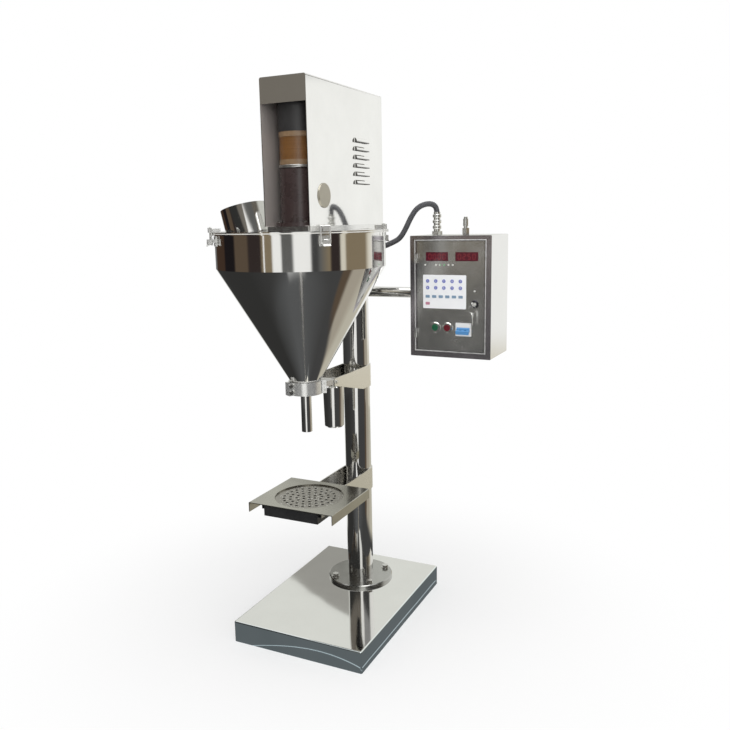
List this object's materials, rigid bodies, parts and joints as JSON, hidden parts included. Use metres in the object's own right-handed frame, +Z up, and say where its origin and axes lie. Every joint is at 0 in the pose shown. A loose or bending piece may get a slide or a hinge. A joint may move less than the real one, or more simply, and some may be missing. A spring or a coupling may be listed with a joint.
{
  "type": "auger powder filler",
  "caption": "Column-mounted auger powder filler: latched cone hopper with dosing screw, covered drive, lifting tray with spill drawer, and a swing-door control box.",
  "frame": {"origin": "centre of the base's underside, on the floor", "axes": "+Z up along the column, -Y to the operator's side where the hopper stands, +X to the control box"},
  "size_m": [0.836, 0.865, 1.911],
  "materials": {
    "polished_steel": "polished stainless sheet and tube",
    "plain_steel": "machined steel",
    "zinc_bolts": "bright fasteners",
    "dark_steel": "satin black paint",
    "cast_housing": "dark brown painted casting",
    "coil_amber": "varnished amber winding",
    "black_plastic": "matt",
    "seal_rubber": "matt",
    "panel_steel": "polished stainless sheet",
    "display_red": "smoked red window",
    "keypad_white": "printed film",
    "button_green": "gloss",
    "button_red": "gloss",
    "breaker_white": "gloss",
    "toggle_blue": "gloss",
    "board_green": "lacquer",
    "module_grey": "anodised"
  },
  "bodies": {
    "frame": {"base_cover": "polished_steel", "base_frame": "dark_steel", "column": "polished_steel", "column_flange": "polished_steel", "flange_bolts": "zinc_bolts", "head_plate": "polished_steel", "frame_bolts": "zinc_bolts", "motor_cover": "polished_steel", "cover_plug": "polished_steel", "spindle_housing": "cast_housing", "spindle_bearings": "plain_steel", "clutch_ring": "plain_steel", "clutch_coil": "coil_amber", "drive_motor": "dark_steel", "hopper_lid": "polished_steel", "inlet_neck": "polished_steel", "lid_seals": "seal_rubber", "hopper": "polished_steel", "outlet_ring_front": "plain_steel", "outlet_ring_rear": "plain_steel", "metering_tube": "polished_steel", "hopper_arm": "polished_steel", "vibrator_body": "polished_steel", "latch_mounts": "polished_steel", "box_arm": "polished_steel", "control_box": "polished_steel", "mounting_plate": "plain_steel", "power_modules": "module_grey", "door_hinges": "polished_steel", "cable_glands": "zinc_bolts", "conduit": "black_plastic"},
    "auger": {"spindle_shaft": "plain_steel", "auger_screw": "polished_steel", "agitator": "polished_steel"},
    "tray": {"tray_bracket": "polished_steel", "tray_bolts": "zinc_bolts", "tray_plate": "polished_steel", "perforated_disc": "polished_steel", "drawer_runners": "plain_steel"},
    "drawer": {"spill_drawer": "dark_steel"},
    "door": {"box_door": "panel_steel", "control_board": "board_green", "display_lenses": "display_red", "keypad": "keypad_white", "door_bezels": "plain_steel", "breaker": "breaker_white"},
    "start_button": {"start_button": "button_green"},
    "stop_button": {"stop_button": "button_red"},
    "breaker_toggle": {"breaker_toggle": "toggle_blue"},
    "lock_key": {"lock_key": "plain_steel"},
    "latch_lever_front_left": {"latch_lever_front_left": "polished_steel"},
    "latch_bail_front_left": {"latch_bail_front_left": "plain_steel"},
    "latch_lever_front_right": {"latch_lever_front_right": "polished_steel"},
    "latch_bail_front_right": {"latch_bail_front_right": "plain_steel"},
    "latch_lever_back_right": {"latch_lever_back_right": "polished_steel"},
    "latch_bail_back_right": {"latch_bail_back_right": "plain_steel"},
    "latch_lever_back_left": {"latch_lever_back_left": "polished_steel"},
    "latch_bail_back_left": {"latch_bail_back_left": "plain_steel"}
  },
  "joints": [
    {"name": "auger_spin", "type": "hinge", "parent": "frame", "child": "auger", "pos_m": [0, -0.226, 0], "axis": [0, 0, 1], "continuous": true},
    {"name": "latch_lever_front_left_swing", "type": "hinge", "parent": "frame", "child": "latch_lever_front_left", "pos_m": [-0.20435, -0.43035, 1.418], "axis": [-0.7071, 0.7071, 0], "range_deg": [0, 90]},
    {"name": "latch_bail_front_left_swing", "type": "hinge", "parent": "latch_lever_front_left", "child": "latch_bail_front_left", "pos_m": [-0.20435, -0.43035, 1.41], "axis": [-0.7071, 0.7071, 0], "range_deg": [-80, 0]},
    {"name": "latch_lever_front_right_swing", "type": "hinge", "parent": "frame", "child": "latch_lever_front_right", "pos_m": [0.20435, -0.43035, 1.418], "axis": [-0.7071, -0.7071, 0], "range_deg": [0, 90]},
    {"name": "latch_bail_front_right_swing", "type": "hinge", "parent": "latch_lever_front_right", "child": "latch_bail_front_right", "pos_m": [0.20435, -0.43035, 1.41], "axis": [-0.7071, -0.7071, 0], "range_deg": [-80, 0]},
    {"name": "latch_lever_back_right_swing", "type": "hinge", "parent": "frame", "child": "latch_lever_back_right", "pos_m": [0.20435, -0.02165, 1.418], "axis": [0.7071, -0.7071, 0], "range_deg": [0, 90]},
    {"name": "latch_bail_back_right_swing", "type": "hinge", "parent": "latch_lever_back_right", "child": "latch_bail_back_right", "pos_m": [0.20435, -0.02165, 1.41], "axis": [0.7071, -0.7071, 0], "range_deg": [-80, 0]},
    {"name": "latch_lever_back_left_swing", "type": "hinge", "parent": "frame", "child": "latch_lever_back_left", "pos_m": [-0.20435, -0.02165, 1.418], "axis": [0.7071, 0.7071, 0], "range_deg": [0, 90]},
    {"name": "latch_bail_back_left_swing", "type": "hinge", "parent": "latch_lever_back_left", "child": "latch_bail_back_left", "pos_m": [-0.20435, -0.02165, 1.41], "axis": [0.7071, 0.7071, 0], "range_deg": [-80, 0]},
    {"name": "tray_lift", "type": "slide", "parent": "frame", "child": "tray", "axis": [0, 0, 1], "range_m": [-0.25, 0.12]},
    {"name": "drawer_slide", "type": "slide", "parent": "tray", "child": "drawer", "axis": [0, -1, 0], "range_m": [0, 0.2]},
    {"name": "door_swing", "type": "hinge", "parent": "frame", "child": "door", "pos_m": [0.285, 0.0655, 1.2], "axis": [0, 0, -1], "range_deg": [0, 90]},
    {"name": "breaker_throw", "type": "hinge", "parent": "door", "child": "breaker_toggle", "pos_m": [0.4555, 0.069, 1.1], "axis": [-1, 0, 0], "range_deg": [0, 60]},
    {"name": "key_turn", "type": "hinge", "parent": "door", "child": "lock_key", "pos_m": [0.494, 0.07, 1.1875], "axis": [0, 1, 0], "range_deg": [0, 90]},
    {"name": "start_press", "type": "slide", "parent": "door", "child": "start_button", "axis": [0, 1, 0], "range_m": [0, 0.003], "stiffness_N_per_m": 800},
    {"name": "stop_press", "type": "slide", "parent": "door", "child": "stop_button", "axis": [0, 1, 0], "range_m": [0, 0.003], "stiffness_N_per_m": 800}
  ],
  "couplings": [
    {"joint": "latch_bail_front_left_swing", "follows": "latch_lever_front_left_swing", "ratio": -0.87},
    {"joint": "latch_bail_front_right_swing", "follows": "latch_lever_front_right_swing", "ratio": -0.87},
    {"joint": "latch_bail_back_right_swing", "follows": "latch_lever_back_right_swing", "ratio": -0.87},
    {"joint": "latch_bail_back_left_swing", "follows": "latch_lever_back_left_swing", "ratio": -0.87}
  ]
}
